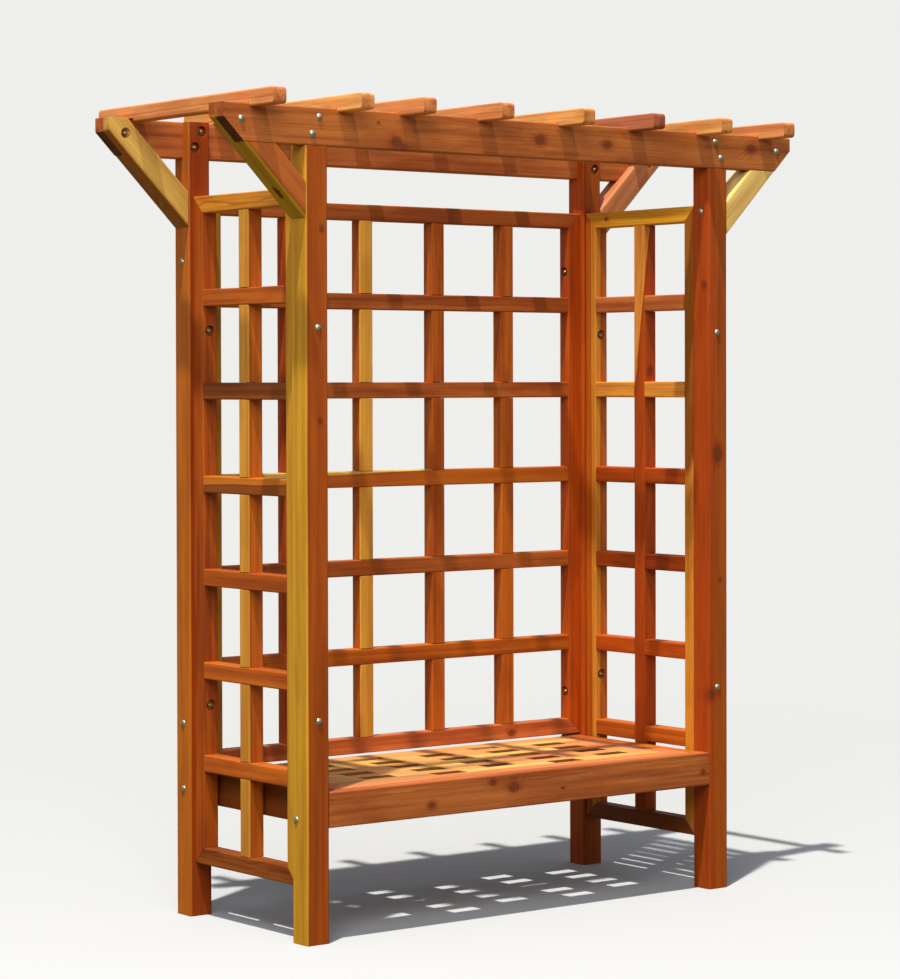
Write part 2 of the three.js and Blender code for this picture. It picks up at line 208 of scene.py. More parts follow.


# %% [markdown]
# ## Growth rings
#
# Every timber was once part of a round tree: its rings are cylinders about the pith. If each mesh
# carries the place of its surface relative to that pith, one formula draws straight grain on one face,
# wide arches on the next and curved rings on the end grain, as in real wood. The mesh carries four
# attributes:
#
# - `grain`: the place along, across and through the timber, seen from the pith
# - `heartwood`: its colour, and in the fourth channel how much the rings wander
# - `sapwood`: its colour, and in the fourth channel how strong the figure is
# - `figure`: where the pale sapwood starts, how wide a ring is, and what a face is like: 0 when plain,
#   1 on end grain, and above 2 where shade is painted, on ends that look down and on the walls of the
#   seat's slots
#
# Knots are places in the object's own coordinates: they push the rings aside and darken the middle.

# %% The values of the timber material
LATE_TINT = (0.56, 0.40, 0.32, 1.0)  # the late wood of each ring, streaks and fibres
DEEP_TINT = (0.66, 0.50, 0.40, 1.0)  # dark bands, clouds and end grain
LIGHT_TINT = (1.18, 1.22, 1.15, 1.0)  # pale bands
HALO_TINT = (0.80, 0.58, 0.45, 1.0)  # the wood round a knot
SHADE_TINT = (0.34, 0.36, 0.12, 1.0)  # painted shade on ends that look down and on the walls of the seat's slots
KNOT_BROWN = (0.150, 0.036, 0.008, 1.0)
KNOT_DARK = (0.060, 0.014, 0.004, 1.0)

# How often noise changes in a metre, along a timber and across it.
DRIFT_SCALES = (0.9, 7)
WAVE_SCALES = (7, 40)
BAND_SCALES = (1.3, 44)
CLOUD_SCALES = (3.2, 14)
STREAK_SCALES = (3, 130)
FIBRE_SCALES = (12, 480)
RING_DRIFT, RING_WAVE = 0.06, 0.008  # metres that the rings of a wild timber wander

# Ramps: between the first two values, a share changes from the third number to the fourth.
LATE_RISE = (0.50, 0.90, 0.0, 1.0)  # late wood over one ring
LATE_FALL = (0.93, 1.0, 1.0, 0.0)
YEAR_SHARE = (0.35, 0.70, 0.15, 1.0)  # some years leave a faint ring
YEAR_SCALE = 3.7  # large enough that each year's noise stands alone
SAP_SHARE = (-0.0015, 0.0010, 1.0, 0.0)  # sapwood over the metres inside its border
SAP_BORDER = (0.0, 0.010, 1.0, 0.0)
BAND_DARK = (0.47, 0.66, 0.0, 0.65)
BAND_LIGHT = (0.34, 0.50, 0.8, 0.0)
CLOUD_DARK = (0.46, 0.64, 0.0, 0.60)
STREAK_DARK = (0.46, 0.70, 0.0, 0.40)
FIBRE_DARK = (0.55, 0.80, 0.0, 0.35)
# painted shade: how far a face value between 2 and 3 takes the shade tint
SHADE_SHARE = (2.0, 3.0, 0.0, 1.0)
END_ROUGH = (0.0, 2.0, 0.0, 0.25)
BORDER_TINTED, LATE_TINTED, END_TINTED = 0.5, 0.60, 0.55  # how fully these take their tint

# Ramps over the distance from a knot's middle, in knot radii.
SWIRL_FADE = (0.8, 3.2, 0.8, 0.0)
HALO_SHARE = (0.9, 2.6, 0.7, 0.0)
DISC_SHARE = (0.85, 1.15, 0.75, 0.0)
RIM_RISE = (0.55, 0.95, 0.0, 0.35)
RIM_FALL = (0.95, 1.50, 1.0, 0.0)
SPOT_SHARE = (0.05, 0.50, 0.64, 0.0)
SWIRL_DARK = (0.40, 0.85, 0.0, 1.0)  # over one ring of the swirl round a knot
SWIRL_RINGS = 2.4  # rings of that swirl in a knot radius
KNOT_SWELL = 1.3  # how far a knot pushes the rings aside, in knot radii
KNOT_REACH = 5.0  # how far that push is felt, in knot radii
RAGGED_SCALE, RAGGED_DEPTH = 130.0, 0.9  # how often and how far a knot's outline strays

BASE_ROUGHNESS, FIBRE_ROUGHNESS, LATE_POLISH = 0.54, 0.18, 0.04
FIBRE_HEIGHT, LATE_HEIGHT, STREAK_HEIGHT = 0.8, 0.4, 0.5
BUMP_STRENGTH, BUMP_DISTANCE = 0.30, 0.0005


# %% The oiled timber material
def drawn_out(graph, parts, scales, detail=3.0):
    """Noise from 0 to 1 that changes slowly along a timber and fast across it."""
    along, across, through = parts
    slow, fast = scales
    return graph.noise(graph.combine(along * slow, across * fast, through * fast), 1.0, detail)


def knot_masks(graph, knots):
    """For a list of (centre, half sizes) the push on the rings and the distance to the nearest knot."""
    place = graph.place()
    ragged = (graph.noise(place, RAGGED_SCALE, 3.0) - 0.5) * RAGGED_DEPTH
    push, nearest = None, None
    for centre, size in knots:
        offset = graph.vector_sum("SUBTRACT", place, centre)
        scaled = graph.vector_sum("DIVIDE", offset, size)
        distance = graph.vector_sum("LENGTH", scaled) + ragged
        shove = graph.ramp(distance, 0.0, KNOT_REACH, KNOT_SWELL * min(size), 0.0)
        push = shove if push is None else push.sum_with("MAXIMUM", shove)
        nearest = distance if nearest is None else nearest.sum_with("MINIMUM", distance)
    return push, nearest


def with_knots(graph, base, nearest):
    """The base colour with a halo, a swirl, a brown disc and a dark rim and spot at each knot."""
    swirl = (nearest * SWIRL_RINGS).sum_with("FRACT")
    swirl = graph.ramp(swirl, *SWIRL_DARK) * graph.ramp(nearest, *SWIRL_FADE)
    rim = graph.ramp(nearest, *RIM_RISE) * graph.ramp(nearest, *RIM_FALL)
    base = graph.tinted(graph.ramp(nearest, *HALO_SHARE), base, HALO_TINT)
    base = graph.tinted(swirl, base, LATE_TINT)
    base = graph.mix(graph.ramp(nearest, *DISC_SHARE), base, KNOT_BROWN)
    return graph.mix(rim.sum_with("MAXIMUM", graph.ramp(nearest, *SPOT_SHARE)), base, KNOT_DARK)


def oiled_timber(name, knots=()):
    """Rings about the pith, drifting along the length, with sapwood, fibres, knots, end grain and
    painted shade.
    """
    graph = Graph(bpy.data.materials.new(name))
    heart, _, _, wander = graph.attribute("heartwood")
    sap, _, _, strength = graph.attribute("sapwood")
    sap_start, ring_width, face_kind = graph.split(graph.attribute("figure")[1])
    parts = graph.split(graph.attribute("grain")[1])

    drift = drawn_out(graph, parts, DRIFT_SCALES, 2.0) - 0.5
    wave = drawn_out(graph, parts, WAVE_SCALES, 2.0) - 0.5
    radius = graph.vector_sum("LENGTH", graph.combine(parts[1], parts[2], 0.0))
    radius = radius + (drift * RING_DRIFT + wave * RING_WAVE) * wander
    nearest = None
    if knots:
        push, nearest = knot_masks(graph, knots)
        radius = radius + push

    rings = radius / ring_width
    phase = rings.sum_with("FRACT")
    year = graph.noise(graph.combine(rings.sum_with("FLOOR"), 0.0, 0.0), YEAR_SCALE, 0.0)
    late = graph.ramp(phase, *LATE_RISE) * graph.ramp(phase, *LATE_FALL)
    late = late * graph.ramp(year, *YEAR_SHARE)

    inside = sap_start - radius
    sap_mask = graph.ramp(inside, *SAP_SHARE)
    border = graph.ramp(inside, *SAP_BORDER) * (1 - sap_mask)
    band = drawn_out(graph, parts, BAND_SCALES)
    cloud = drawn_out(graph, parts, CLOUD_SCALES)
    streak = drawn_out(graph, parts, STREAK_SCALES)
    fibre = drawn_out(graph, parts, FIBRE_SCALES, 2.0)

    base = graph.mix(sap_mask, heart, sap)
    for pattern, share, tint in (
        (band, BAND_DARK, DEEP_TINT),
        (band, BAND_LIGHT, LIGHT_TINT),
        (cloud, CLOUD_DARK, DEEP_TINT),
        (streak, STREAK_DARK, LATE_TINT),
    ):
        base = graph.tinted(graph.ramp(pattern, *share) * strength, base, tint)
    base = graph.tinted(border * BORDER_TINTED, base, DEEP_TINT)
    base = graph.tinted(late * strength * LATE_TINTED, base, LATE_TINT)
    base = graph.tinted(graph.ramp(fibre, *FIBRE_DARK), base, LATE_TINT)
    base = graph.tinted(face_kind * END_TINTED, base, DEEP_TINT)
    # painted shade: ends that look down and the walls of the seat's slots are darkened
    base = graph.tinted(graph.ramp(face_kind, *SHADE_SHARE), base, SHADE_TINT)
    if nearest is not None:
        base = with_knots(graph, base, nearest)

    roughness = BASE_ROUGHNESS + (fibre - 0.5) * FIBRE_ROUGHNESS - late * LATE_POLISH
    roughness = roughness + graph.ramp(face_kind, *END_ROUGH)
    height = (fibre - 0.5) * FIBRE_HEIGHT + late * LATE_HEIGHT + (streak - 0.5) * STREAK_HEIGHT
    normal = graph.bump(height, BUMP_STRENGTH, BUMP_DISTANCE)
    return graph.surface(
        Base_Color=base, Roughness=roughness, Normal=normal, IOR=1.45, Specular_IOR_Level=0.28
    )


# %% [markdown]
# ## From a solid to a dressed timber
#
# An arbour is sanded before it is oiled, so every arris is broken a little. A copy of each solid is
# merged, its flat faces are joined, and a narrow bevel runs along its edges. A face with a bore in it
# can't be one polygon, so it is first cut straight across through the middle of each bore. Weighted
# normals keep the faces flat and let only the bevels shine.

# %% Find the bores and the folds of a mesh
ARRIS_WIDTHS = (0.0009, 0.0006, 0.0003)  # the sanded edge: the widest that folds no face over
SHARP = math.radians(20)  # edges that turn further than this get a bevel
FLAT = math.radians(1)  # faces that turn less than this lie in one plane
SAME_POINT = 1e-5  # metres between corners that are merged
ON_CUT = 1e-6  # metres between a corner and the cut that runs through it
SAME_BORE = 5e-4  # metres between the middles of two bores that share a cut
FOLDED = -1e-9  # twice a triangle's area in square metres: below this it looks the other way


def read(elements, key, width=1, kind=float):
    """A value of every element of a mesh, or a row of values, as an array."""
    values = np.empty(len(elements) * width, kind)
    elements.foreach_get(key, values)
    return values.reshape(-1, width) if width > 1 else values


def joined(start, neighbours, waiting):
    """Everything in waiting that can be reached from start, taken out of waiting."""
    found, stack = {start}, [start]
    waiting.discard(start)
    while stack:
        for other in neighbours(stack.pop()):
            if other in waiting:
                waiting.discard(other)
                found.add(other)
                stack.append(other)
    return found


def across_flat(face):
    """The faces next to a face and in its plane."""
    flat_edges = [edge for edge in face.edges if edge.calc_face_angle(0.0) <= FLAT]
    return [other for edge in flat_edges for other in edge.link_faces]


def loop_spans(rim, axis):
    """For every closed loop of edges in rim, its length along the axis and its middle."""
    spans = []
    corners = {vertex for edge in rim for vertex in edge.verts}

    def along_rim(vertex):
        return [edge.other_vert(vertex) for edge in vertex.link_edges if edge in rim]

    while corners:
        loop = joined(next(iter(corners)), along_rim, corners)
        heights = [float(np.dot(vertex.co, axis)) for vertex in loop]
        spans.append((max(heights) - min(heights), (max(heights) + min(heights)) / 2))
    return spans


def bore_places(built, axis):
    """Places along the axis of the middle of every hole in a flat face.

    A flat region is bounded by loops of edges. The longest is its outline, and the others are holes.
    """
    places = []
    faces = set(built.faces)
    while faces:
        region = joined(next(iter(faces)), across_flat, faces)
        rim = {edge for face in region for edge in face.edges if edge.calc_face_angle(0.0) > FLAT}
        places += [middle for _, middle in sorted(loop_spans(rim, axis))[:-1]]
    places.sort()
    return [p for i, p in enumerate(places) if i == 0 or p - places[i - 1] > SAME_BORE]


def folded_faces(mesh):
    """How many triangles of a mesh look against their own polygon."""
    mesh.calc_loop_triangles()
    points = read(mesh.vertices, "co", 3)
    corners = read(mesh.loop_triangles, "vertices", 3, np.int64)
    owner = read(mesh.loop_triangles, "polygon_index", 1, np.int64)
    normals = read(mesh.polygons, "normal", 3)
    a, b, c = np.moveaxis(points[corners], 1, 0)
    facing = np.einsum("ij,ij->i", np.cross(b - a, c - a), normals[owner])
    return int(np.count_nonzero(facing < FOLDED))


# %% Round the edges of a solid
def rounded_mesh(name, source, axis, width):
    """A solid's shape, its doubles merged, cut through its bores, with a bevel on its edges."""
    built = bmesh.new()
    built.from_mesh(source)
    bmesh.ops.remove_doubles(built, verts=built.verts, dist=SAME_POINT)
    for place in bore_places(built, axis):
        parts = [*built.verts, *built.edges, *built.faces]
        cut = bmesh.ops.bisect_plane(
            built, geom=parts, dist=ON_CUT, plane_co=axis * place, plane_no=axis
        )
        for part in cut["geom_cut"]:
            if isinstance(part, bmesh.types.BMEdge):
                part.seam = True
    bmesh.ops.dissolve_limit(
        built, angle_limit=FLAT, verts=built.verts, edges=built.edges, delimit={"SEAM"}
    )
    edges = [e for e in built.edges if len(e.link_faces) == 2 and e.calc_face_angle() > SHARP]
    bmesh.ops.bevel(
        built, geom=edges, offset=width, offset_type="OFFSET", segments=2, profile=0.5, affect="EDGES"
    )
    mesh = bpy.data.meshes.new(name)
    built.to_mesh(mesh)
    built.free()
    return mesh


def add_object(name, data):
    """Put a mesh, a camera or a lamp in the scene as an object at the origin."""
    made = bpy.data.objects.new(name, data)
    bpy.context.scene.collection.objects.link(made)
    return made


def rounded_copy(name, source, axis):
    """A new object with the widest bevel that folds no face over, and even normals."""
    for width in ARRIS_WIDTHS:
        mesh = rounded_mesh(name, source, axis, width)
        if folded_faces(mesh) == 0:
            break
        if width != ARRIS_WIDTHS[-1]:
            bpy.data.meshes.remove(mesh)
    mesh.polygons.foreach_set("use_smooth", np.ones(len(mesh.polygons), bool))
    piece = add_object(name, mesh)
    even = piece.modifiers.new("even_normals", "WEIGHTED_NORMAL")
    even.weight = 100
    return piece


def dress(piece, material, node=None):
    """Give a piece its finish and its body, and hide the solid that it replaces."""
    piece.data.materials.append(material)
    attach(piece, "root")
    if node:
        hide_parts(node)


# %% [markdown]
# ## Where each timber lay in its tree
#
# A timber is described by the place of its pith, measured from its own middle, and by how deep the
# sapwood reaches below the far side. Four ways of sawing do for nearly all. The colours are a small
# named palette.

# %% Four ways of sawing
TONES = dict(
    cream="ECC876", honey="E0A23C", mustard="DC9C22", straw="CEA652", saffron="D88E36",
    caramel="C88C30", ochre="C08C22", olive="AC8604", amber="CA8228", peach="E8A45C",
    apricot="DC8E54", sand="D8AA5C", shell="CE9254", blush="C67A4A", drab="A87C48", rose="CA8052",
    clay="B66133", mauve="B06646", terracotta="BC6A34", rust="C66C38", cinnamon="B1652E",
    tawny="BC6A14", copper="B65C12", sienna="B44C06", chestnut="A44C08", cedar="B26430",
    russet="AC5A22", nutmeg="AE5E10", auburn="A44204", brick="963C04", umber="844210",
    bronze="96560C",
)
SIDES = {
    "left": (-1, 0, 0),
    "front": (0, -1, 0),
    "top": (0, 0, 1),
    "left_under": (-SLOPE, 0, -SLOPE),
    "front_left": (-SLOPE, -SLOPE, 0),
    "back_left": (-SLOPE, SLOPE, 0),
}
MM = 0.001
PITH_FAR, PITH_NEAR, PITH_BESIDE = 420, 46, 600  # millimetres from the timber's middle to its pith
PITH_OF_PALE = (60, 200)
FINE_RINGS, WIDE_RINGS, SIDE_RINGS = (3.2, 4.2), (3.8, 5.5), 3.6  # millimetres
NONE, ALL = -900, 900  # sapwood depths in millimetres that no timber and every timber reaches
STILL = (0.0, 0.0, 0.0)
STOCK_LENGTH = 90  # metres: each timber shows another stretch of the same endless noise
END_SHARE = 0.6  # a face counts as end grain when its normal points this far along the timber
DOWN_SHADE = 3.0  # the face value of an end that looks down, which gets painted shade
rng = np.random.default_rng(11)

# The tones of heartwood and sapwood, the pith and the sapwood's depth and a ring's width in
# millimetres, how much the rings wander and lean, how strong the figure is and how much painted shade
# the upright walls get.
FIELDS = "heart sap pith depth ring wander lean strength stain"
Timber = namedtuple("Timber", FIELDS, defaults=(STILL, 1.0, 0.0))


def away(distance):
    """A point at that distance, in a random direction."""
    direction = rng.normal(size=3)
    return tuple(direction / np.linalg.norm(direction) * distance)


def straight(tone, strength=1.0):
    """Heartwood from far out in the tree, with fine parallel lines."""
    pith = away(PITH_FAR)
    ring = rng.uniform(*FINE_RINGS)
    return Timber(tone, "amber", pith, NONE, ring, wander=0.35, strength=strength)


def arched(tone, ring=5.5):
    """Heartwood from near the pith, with arches on its wide faces."""
    return Timber(tone, "amber", away(PITH_NEAR), NONE, ring, wander=0.7)


def pale(tone):
    """Sapwood right through."""
    pith = away(rng.uniform(*PITH_OF_PALE))
    return Timber("copper", tone, pith, ALL, rng.uniform(*WIDE_RINGS), wander=0.5)


def sided(tone, sap, side, depth=4, wander=0.12, run_out=0.0):
    """Sapwood on one side, which grows deeper along the timber by run_out metres a metre."""
    towards = np.array(SIDES[side])
    pith, lean = tuple(-PITH_BESIDE * towards), tuple(-run_out * towards)
    return Timber(tone, sap, pith, depth, SIDE_RINGS, wander, lean, strength=0.6)


# %% Write the grain into a mesh
def corner_values(mesh, name, values):
    """Write one attribute of the face corners: rows of four are colours, rows of three vectors."""
    kind, key = ("FLOAT_COLOR", "color") if values.shape[1] == 4 else ("FLOAT_VECTOR", "vector")
    layer = mesh.attributes.new(name, kind, "CORNER")
    layer.data.foreach_set(key, np.ascontiguousarray(values, np.float32).ravel())


def face_kinds(mesh, axis, stain):
    """For each polygon 1 on end grain, a higher value for painted shade on ends that look down and on
    upright walls, or 0.
    """
    normals = read(mesh.polygons, "normal", 3)
    on_end = np.abs(normals @ axis) > END_SHARE
    # painted shade on ends that look down
    kinds = on_end * np.where(normals[:, Z] < -END_SHARE, DOWN_SHADE, 1.0)
    return np.maximum(kinds, (np.abs(normals[:, Z]) < END_SHARE) * stain)


def give_grain(piece, axis, timber):
    """Write the attributes that the timber material reads.

    With l the unit vector along the timber, a and b those across and through it, c its middle and q the
    pith, a surface point p becomes (along, (d . a), (d . b)), where along = (p - c) . l and
    d = p - c - q - lean * along. Sapwood starts at |q| + h - depth, where h is how far the timber
    reaches on the side away from the pith.
    """
    mesh = piece.data
    points = read(mesh.vertices, "co", 3)
    points = points - (points.min(0) + points.max(0)) / 2
    side = AXES[Y] if abs(axis[Y]) < SLOPE else AXES[X]
    other = np.cross(axis, side)
    pith = np.array(timber.pith) * MM
    pith = pith - axis * (pith @ axis)
    along = points @ axis
    apart = points - pith - np.outer(along, timber.lean)
    grain = np.stack([along + rng.uniform(0, STOCK_LENGTH), apart @ side, apart @ other], axis=1)
    reach = np.linalg.norm(pith)
    sap_start = reach + np.max(points @ (-pith / reach)) - timber.depth * MM

    corners = read(mesh.loops, "vertex_index", 1, np.int64)
    sizes = read(mesh.polygons, "loop_total", 1, np.int64)
    kinds = np.repeat(face_kinds(mesh, axis, timber.stain), sizes)
    count = len(corners)
    heart = (*colour(TONES[timber.heart])[:3], timber.wander)
    sap = (*colour(TONES[timber.sap])[:3], timber.strength)
    figure = np.stack([np.full(count, sap_start), np.full(count, timber.ring * MM), kinds], axis=1)
    corner_values(mesh, "grain", grain[corners])
    corner_values(mesh, "heartwood", np.tile(heart, (count, 1)))
    corner_values(mesh, "sapwood", np.tile(sap, (count, 1)))
    corner_values(mesh, "figure", figure)


# %% [markdown]
# ## The choice for each timber
#
# These choices follow the photograph: golden faces on one side of a red post, a golden edge that runs
# out along a crossbar, a dark rail beside a pale one. Two rails of the left panel have a wilder figure
# than the four ways give, so they are described in full.

# %% A table of timbers
def numbered(name, *timbers):
    """Timbers of one kind under their numbered names."""
    return {f"{name}_{number}": timber for number, timber in enumerate(timbers, 1)}


TIMBER = {
    "left_front_post": sided("chestnut", "ochre", "left"),
    "left_back_post": sided("brick", "nutmeg", "left", 5),
    "right_front_post": sided("chestnut", "auburn", "left", 20, 0.8),
    "right_back_post": sided("chestnut", "sienna", "left", 12, 0.9),
    "front_beam": arched("cinnamon", 4.6),
    "back_beam": straight("terracotta"),
    "left_front_brace": sided("russet", "olive", "left_under", 5),
    "left_back_brace": sided("straw", "bronze", "left_under", 4),
    "right_front_brace": straight("cream", 0.6),
    "right_back_brace": straight("rose", 0.7),
    "left_panel_back_stile": arched("chestnut", 6.0),
    "left_panel_front_stile": sided("copper", "ochre", "left"),
    "left_panel_top_rail": Timber("copper", "amber", (30, 0, 26), ALL, 9.0, 1.3, STILL, 1.4),
    "left_panel_bottom_rail": Timber("umber", "amber", (30, 0, 26), NONE, 7.0, 1.3, STILL, 1.4),
    "left_panel_upright": sided("copper", "caramel", "left"),
    **numbered(
        "left_panel_crossbar", straight("copper"), arched("umber", 8.0),
        sided("umber", "tawny", "top", 26, 1.0, 0.03), straight("chestnut"), straight("copper"),
        arched("copper", 5.0),
    ),
    "right_panel_back_stile": sided("copper", "amber", "front_left", 13, 0.2),
    "right_panel_front_stile": sided("bronze", "amber", "left", 6, 0.5, -0.03),
    "right_panel_top_rail": pale("mustard"),
    "right_panel_bottom_rail": straight("umber"),
    "right_panel_upright": sided("auburn", "saffron", "back_left", -40, 0.2, 0.1),
    **numbered(
        "right_panel_crossbar", straight("terracotta"), pale("saffron"), straight("sienna"),
        straight("brick"), straight("sienna"), arched("copper"),
    ),
    "back_panel_left_stile": sided("copper", "ochre", "front"),
    "back_panel_right_stile": straight("sienna"),
    "back_panel_top_rail": straight("russet"),
    "back_panel_bottom_rail": straight("rust"),
    **numbered(
        "back_panel_upright", straight("sienna"), sided("copper", "honey", "front", 5),
        straight("copper"), straight("copper"),
    ),
    **numbered(
        "back_panel_crossbar", straight("russet"), straight("russet"),
        sided("copper", "straw", "top", 4, 0.2, -0.027), arched("russet", 5.0),
        straight("copper"),
    ),
    "seat_front_apron": arched("cedar", 4.4),
    "seat_back_apron": straight("russet"),
    "seat_left_apron": straight("umber"),
    "seat_right_apron": straight("copper"),
    "seat_front_cleat": straight("copper"),
    "seat_back_cleat": straight("copper"),
}
RAFTERS = "apricot peach apricot apricot peach mauve peach apricot".split()
rafters = [straight(tone) if tone == "mauve" else pale(tone) for tone in RAFTERS]
TIMBER.update(numbered("rafter", *rafters))
print(len(TIMBER), "timbers described")

# %% [markdown]
# ## Dress every timber
#
# A timber's length runs along the longest side of its box, except for the braces, which slope at half
# a right angle. Knots are few in this wood. Each is a stub of a branch behind the front face, or the
# left one where that is said, given by its share across and up the face, and its radius.

# %% Build the timbers
KNOT_DEPTH = 0.016  # how far a knot reaches behind its face
KNOT_STRETCH = 1.35  # knots are longer along the timber
KNOTS = {
    "front_beam": [
        (0.274, 0.22, 0.012), (0.285, 0.10, 0.007), (0.522, 0.50, 0.012), (0.644, 0.48, 0.011),
        (0.921, 0.62, 0.011), (0.245, 0.70, 0.003),
    ],
    "left_front_post": [(0.62, 0.626, 0.005), (0.70, 0.855, 0.005)],
    "right_front_post": [
        (0.48, 0.577, 0.014), (0.12, 0.258, 0.009), (0.60, 0.41, 0.004), (0.30, 0.80, 0.007, "left"),
    ],
    "right_back_post": [(0.3, 0.905, 0.007)],
    "seat_front_apron": [
        (0.405, 0.80, 0.007), (0.46, 0.58, 0.012), (0.59, 0.42, 0.004), (0.982, 0.44, 0.006),
        (0.25, 0.33, 0.009),
    ],
    "back_panel_bottom_rail": [(0.80, 0.4, 0.009)],
    "right_panel_upright": [(0.5, 0.747, 0.009)],
    "right_panel_top_rail": [(0.8, 0.55, 0.005, "left")],
}


def length_of(node):
    """Unit vector along a timber."""
    if "brace" in node:
        towards = 1 if node.startswith("right") else -1
        return np.array([towards * SLOPE, 0.0, SLOPE])
    low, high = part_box(node)
    return AXES[int(np.argmax(np.array(high) - np.array(low)))]


def knots_on(node):
    """Ellipsoids (centre, half sizes) behind the faces of a timber."""
    low, high = (np.array(corner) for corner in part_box(node))
    stretch = 1 + (KNOT_STRETCH - 1) * np.abs(length_of(node))
    found = []
    for share, up, radius, *face in KNOTS[node]:
        inwards, across = (X, Y) if face else (Y, X)
        centre = np.array(low)
        centre[across] += share * (high - low)[across]
        centre[Z] += up * (high - low)[Z]
        size = radius * stretch
        size[inwards] = KNOT_DEPTH
        found.append((tuple(centre), tuple(size)))
    return found


plain_timber = oiled_timber("oiled_timber")
timbers = []
for node, timber in TIMBER.items():
    piece = rounded_copy(f"{node}_timber", nodes[node].data, length_of(node))
    give_grain(piece, length_of(node), timber)
    material = plain_timber
    if node in KNOTS:
        material = oiled_timber(f"oiled_timber_{node}", knots_on(node))
    dress(piece, material, node)
    timbers.append(piece.data)
print(len(timbers), "timbers,", sum(len(mesh.polygons) for mesh in timbers), "faces,",
      sum(folded_faces(mesh) for mesh in timbers), "folded")

# %% [markdown]
# ## The seat board
#
# The board is glued up from short slats, like brickwork: nine rows, each slat three units long, with a
# unit left open between slats, and every other row moved along by half a cycle. Wide mitred boards
# frame the field. The slats come from many different boards, so their colours alternate freely.

# %% The outlines of slats and border boards
BORDER = 0.061  # width of the mitred boards
ROW_COUNT, UNITS = 9, 11  # rows from front to back, and units in each
CYCLE = 4  # units from one slot to the next
SLOT_SHIFT = 0.024  # the pattern of slots lies this much right of the middle
GLUE_LINE = 0.0002
board_low, board_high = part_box("seat_slat_panel")
field_low = np.array(board_low)[:Z] + BORDER
field_high = np.array(board_high)[:Z] - BORDER
unit, row_depth = (field_high - field_low) / (UNITS, ROW_COUNT)


def rectangle(low, high, inset=0.0):
    """The corners of a rectangle, drawn in by inset, in turn from the front left one."""
    left, front = np.array(low) + inset
    right, back = np.array(high) - inset
    return [(left, front), (right, front), (right, back), (left, back)]


def slat_runs(row):
    """The first and last unit of each slat in a row: slats lie between the open units."""
    first = CYCLE - 1 - (row % 2) * CYCLE // 2
    cuts = [-1, *range(first, UNITS, CYCLE), UNITS]
    return [(a + 1, b) for a, b in zip(cuts, cuts[1:]) if b > a + 1]


def cut_place(count):
    """Where a slat ends that many units from the left: the outermost slats fill the field."""
    if count in (0, UNITS):
        return (field_low if count == 0 else field_high)[X]
    return field_low[X] + SLOT_SHIFT + count * unit


def prism_mesh(name, outline, low, high):
    """A closed prism: the outline's corners at the lower level, then again at the upper one."""
    flat = np.array(outline, float)
    count = len(flat)
    points = np.concatenate([np.column_stack([flat, np.full(count, level)]) for level in (low, high)])
    turn = np.arange(count)
    after = (turn + 1) % count
    sides = np.column_stack([turn, after, after + count, turn + count])
    mesh = bpy.data.meshes.new(name)
    faces = [turn[::-1].tolist(), (turn + count).tolist(), *sides.tolist()]
    mesh.from_pydata(points.tolist(), [], faces)
    return mesh


print("slats begin and end at the units", [slat_runs(row) for row in range(2)])

# %% Glue up the seat
SLAT_TONES = "sand shell blush shell sand blush shell drab sand shell".split()
SLAT_STRENGTH, BORDER_STRENGTH = 0.5, 0.6  # how strong the figure is
BORDER_RINGS = 4.5  # millimetres
SLOT_SHADE = 2.5  # the face value of the slots' walls, which get painted shade
BORDERS = [("front", X, "blush"), ("right", Y, "blush"), ("back", X, "shell"), ("left", Y, "clay")]


def board_piece(name, outline, axis, timber):
    """A slat or border board of the seat, with its grain."""
    mesh = prism_mesh(f"{name}_blank", outline, board_low[Z], board_high[Z])
    piece = rounded_copy(name, mesh, axis)
    bpy.data.meshes.remove(mesh)
    give_grain(piece, axis, timber)
    dress(piece, plain_timber, "seat_slat_panel")
    return piece


slats = []
for row in range(ROW_COUNT):
    front = field_low[Y] + row * row_depth
    for start, end in slat_runs(row):
        corner, opposite = (cut_place(start), front), (cut_place(end), front + row_depth)
        tone = SLAT_TONES[rng.integers(len(SLAT_TONES))]
        # painted shade on the walls of the slots
        timber = straight(tone, SLAT_STRENGTH)._replace(stain=SLOT_SHADE)
        outline = rectangle(corner, opposite, GLUE_LINE)
        slats.append(board_piece(f"seat_slat_{row + 1}_{start + 1}", outline, AXES[X], timber))

inner = rectangle(field_low, field_high)
outer = rectangle(board_low[:Z], board_high[:Z])
for i, (side, axis, tone) in enumerate(BORDERS):
    j = (i + 1) % len(BORDERS)
    timber = arched(tone, BORDER_RINGS)._replace(strength=BORDER_STRENGTH)
    outline = [outer[i], outer[j], inner[j], inner[i]]
    board_piece(f"seat_border_{side}", outline, AXES[axis], timber)
print(len(slats), "slats and", len(BORDERS), "border boards")

# %% [markdown]
# ## Bolts, washers and nuts
#
# Carriage bolts hold the frame: a low dome outside, a shank through two timbers, and a nut on a washer
# in a counterbore. All are lathe work, that is a profile turned about an axis. A nut's radius changes
# with the angle, so that its outline is a hexagon.

# %% The fastener surfaces
HEAD_RADIUS = 0.0102
HEAD_HEIGHT = 0.0062
SHANK_RADIUS = 0.004
NUT_FLATS = 0.0127
NUT_HEIGHT = 0.0067
NUT_CHAMFER = 0.0007
WASHER_RADIUS = 0.012
WASHER_HEIGHT = 0.0016
WASHER_RIM = 0.0003
THREAD_PITCH = 0.0014
THREAD_DEPTH = 0.0005
THREAD_TURNS = 7
TIP_LENGTH = 0.0005  # the bolt's chamfered end, which narrows from the first to the second taper
TIP_TAPERS = (0.0002, 0.0010)
MOUTH_GAP, THREAD_GAP = 0.0003, 0.0002  # between shank and nut, at its mouth and inside
BOLT_PROUD = 0.0035  # bolt end past its nut
COUNTERBORE = 0.012
STEPS = 24  # points round a turned piece
DOME_STEPS = 7  # points from the top of a head to its rim
CREASE = math.radians(35)  # edges that turn further than this stay sharp


